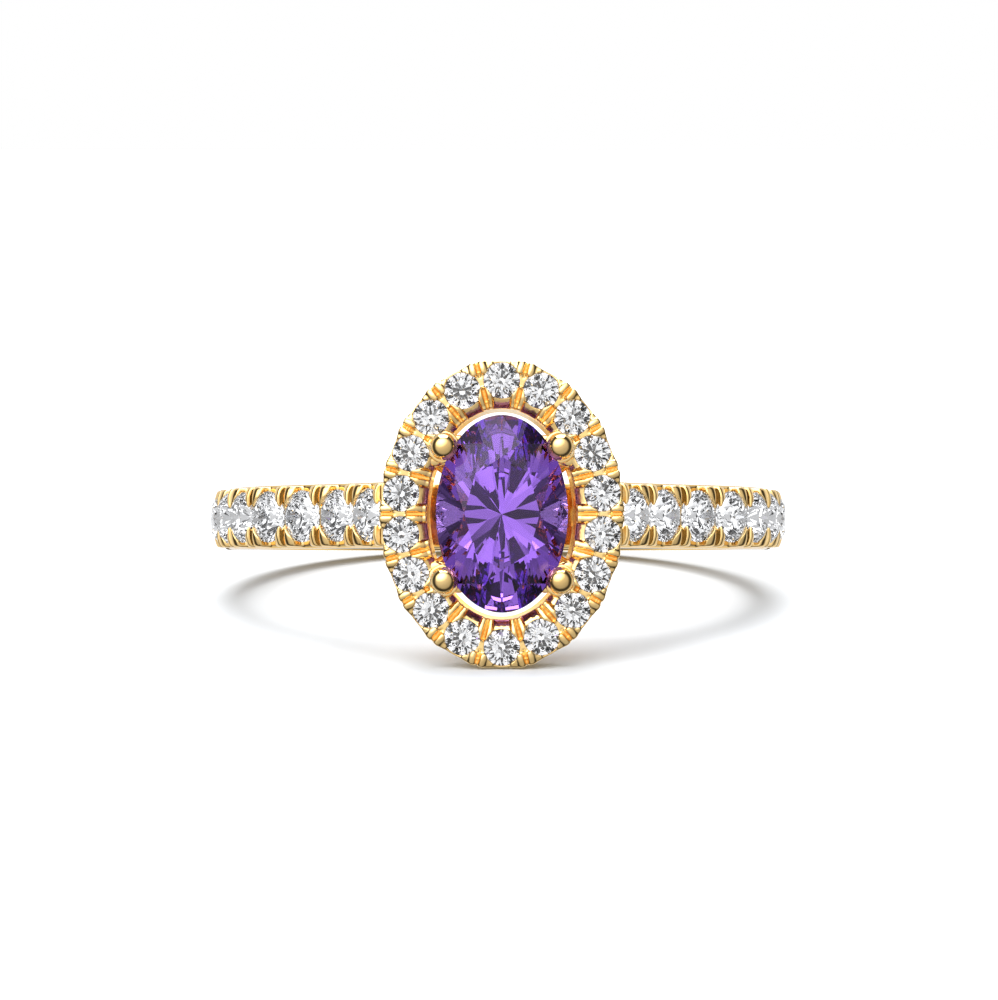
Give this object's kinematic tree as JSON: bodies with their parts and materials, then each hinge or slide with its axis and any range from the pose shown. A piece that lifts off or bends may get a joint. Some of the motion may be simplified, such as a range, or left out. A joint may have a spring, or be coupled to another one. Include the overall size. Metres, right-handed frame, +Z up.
{
  "type": "engagement ring",
  "caption": "Ring with an oval centre stone in four ball prongs, a halo of round stones and stone-set cathedral shoulders, lying on its side.",
  "frame": {"origin": "under the middle of the ring's box, on the table it lies on", "axes": "+Z up from the table; +Y from the head to the back of the shank; the head faces -Y; the finger hole's axis is near +Z, leaning 9.7 degrees towards +Y"},
  "size_m": [0.0196, 0.023, 0.0094],
  "materials": {
    "gold": "polished yellow gold",
    "centre_gem": "faceted purple gemstone",
    "diamond": "faceted clear gemstone"
  },
  "bodies": {
    "root": {"shank": "gold", "left_shoulder": "gold", "right_shoulder": "gold", "basket_rail": "gold", "halo_frame": "gold", "centre_stone": "centre_gem", "prong_top_left": "gold", "prong_top_right": "gold", "prong_bottom_left": "gold", "prong_bottom_right": "gold", "halo_stone_01": "diamond", "halo_stone_02": "diamond", "halo_stone_03": "diamond", "halo_stone_04": "diamond", "halo_stone_05": "diamond", "halo_stone_06": "diamond", "halo_stone_07": "diamond", "halo_stone_08": "diamond", "halo_stone_09": "diamond", "halo_stone_10": "diamond", "halo_stone_11": "diamond", "halo_stone_12": "diamond", "halo_stone_13": "diamond", "halo_stone_14": "diamond", "halo_stone_15": "diamond", "halo_stone_16": "diamond", "halo_stone_17": "diamond", "halo_stone_18": "diamond", "left_shoulder_stone_1": "diamond", "left_shoulder_stone_2": "diamond", "left_shoulder_stone_3": "diamond", "left_shoulder_stone_4": "diamond", "left_shoulder_stone_5": "diamond", "left_shoulder_stone_6": "diamond", "left_shoulder_stone_7": "diamond", "left_shoulder_stone_8": "diamond", "right_shoulder_stone_1": "diamond", "right_shoulder_stone_2": "diamond", "right_shoulder_stone_3": "diamond", "right_shoulder_stone_4": "diamond", "right_shoulder_stone_5": "diamond", "right_shoulder_stone_6": "diamond", "right_shoulder_stone_7": "diamond", "right_shoulder_stone_8": "diamond"}
  },
  "joints": []
}
